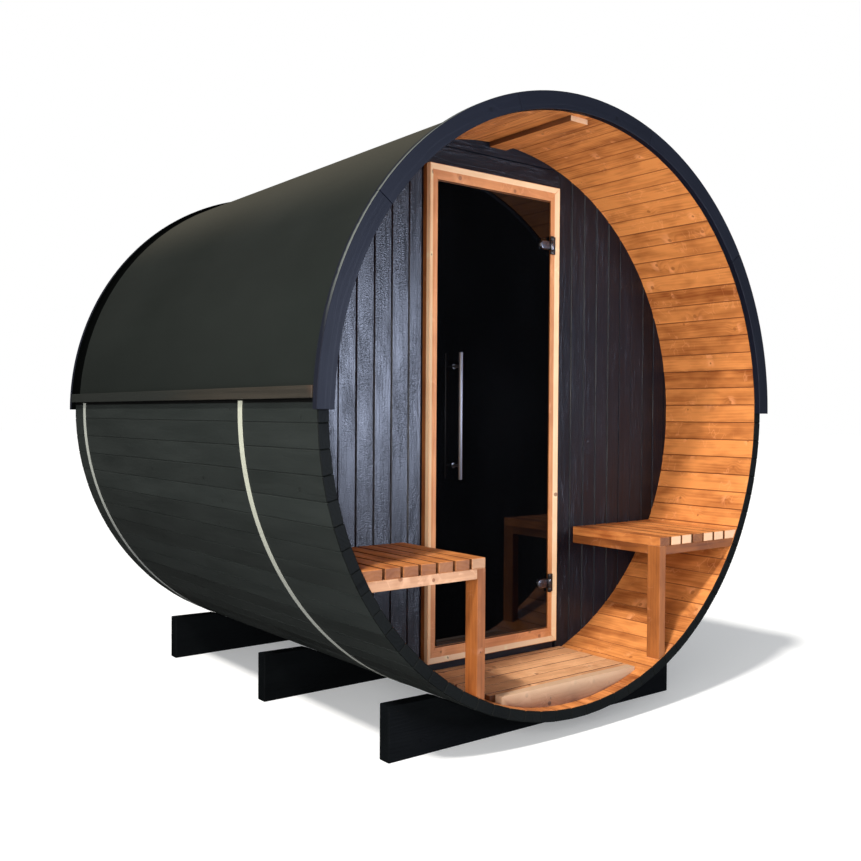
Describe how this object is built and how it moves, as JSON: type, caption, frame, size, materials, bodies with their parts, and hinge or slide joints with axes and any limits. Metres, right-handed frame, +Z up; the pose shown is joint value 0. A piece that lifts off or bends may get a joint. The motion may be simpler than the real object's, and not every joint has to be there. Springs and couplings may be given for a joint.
{
  "type": "barrel sauna",
  "caption": "Barrel sauna: a lying stave cylinder on cradles with an open porch, benches, a glass door in a timber front wall and a sheet-covered upper half.",
  "frame": {"origin": "centre of the footprint at ground level, under the cradles", "axes": "+Z up, front with the porch and door faces -Y, +X to the right seen from the front"},
  "size_m": [2.2594, 2.23, 2.3028],
  "materials": {
    "stained_staves": "dark green-grey stain on wood staves",
    "roof_membrane": "smooth dark olive-grey roofing sheet",
    "band_steel": "pale bright steel strip",
    "dark_boards": "dark blue-black stain over open wood grain",
    "black_planks": "black stained planks",
    "natural_wood": "warm knotty softwood, lightly oiled",
    "tinted_glass": "dark tinted tempered glass",
    "handle_steel": "brushed metal",
    "hinge_black": "black coated metal"
  },
  "bodies": {
    "sauna": {"barrel_wall_bottom": "stained_staves", "barrel_wall_left": "stained_staves", "barrel_wall_lower_left": "stained_staves", "barrel_wall_lower_right": "stained_staves", "barrel_wall_right": "stained_staves", "barrel_wall_top": "stained_staves", "barrel_wall_upper_left": "stained_staves", "barrel_wall_upper_right": "stained_staves", "bench_front_rail_left": "natural_wood", "bench_front_rail_right": "natural_wood", "bench_leg_left": "natural_wood", "bench_leg_right": "natural_wood", "bench_seat_left": "natural_wood", "bench_seat_right": "natural_wood", "bench_side_rail_left": "natural_wood", "bench_side_rail_right": "natural_wood", "cabin_floor": "natural_wood", "ceiling_plank": "natural_wood", "cradle_front": "black_planks", "cradle_middle": "black_planks", "cradle_rear": "black_planks", "deck_bearer_left": "natural_wood", "deck_bearer_right": "natural_wood", "deck_fascia": "natural_wood", "door_head": "natural_wood", "door_jamb_left": "natural_wood", "door_jamb_right": "natural_wood", "door_sill": "natural_wood", "floor_bearer_left": "natural_wood", "floor_bearer_right": "natural_wood", "front_arch": "dark_boards", "front_wall_left": "dark_boards", "front_wall_over_door": "dark_boards", "front_wall_right": "dark_boards", "front_wall_under_door": "dark_boards", "hinge_plate_lower": "hinge_black", "hinge_plate_upper": "hinge_black", "porch_deck": "natural_wood", "rear_arch": "dark_boards", "rear_wall": "dark_boards", "roof_cover": "roof_membrane", "side_batten_left": "stained_staves", "side_batten_right": "stained_staves", "steel_band_middle": "band_steel", "steel_band_rear": "band_steel"},
    "door": {"door_glass": "tinted_glass", "door_handle": "handle_steel", "hinge_back_lower": "hinge_black", "hinge_back_upper": "hinge_black", "hinge_clamp_lower": "hinge_black", "hinge_clamp_upper": "hinge_black"}
  },
  "joints": [
    {"name": "door_swing", "type": "hinge", "parent": "sauna", "child": "door", "pos_m": [0.2865, -0.644, 1.163], "axis": [0, 0, 1], "range_deg": [0, 100]}
  ]
}
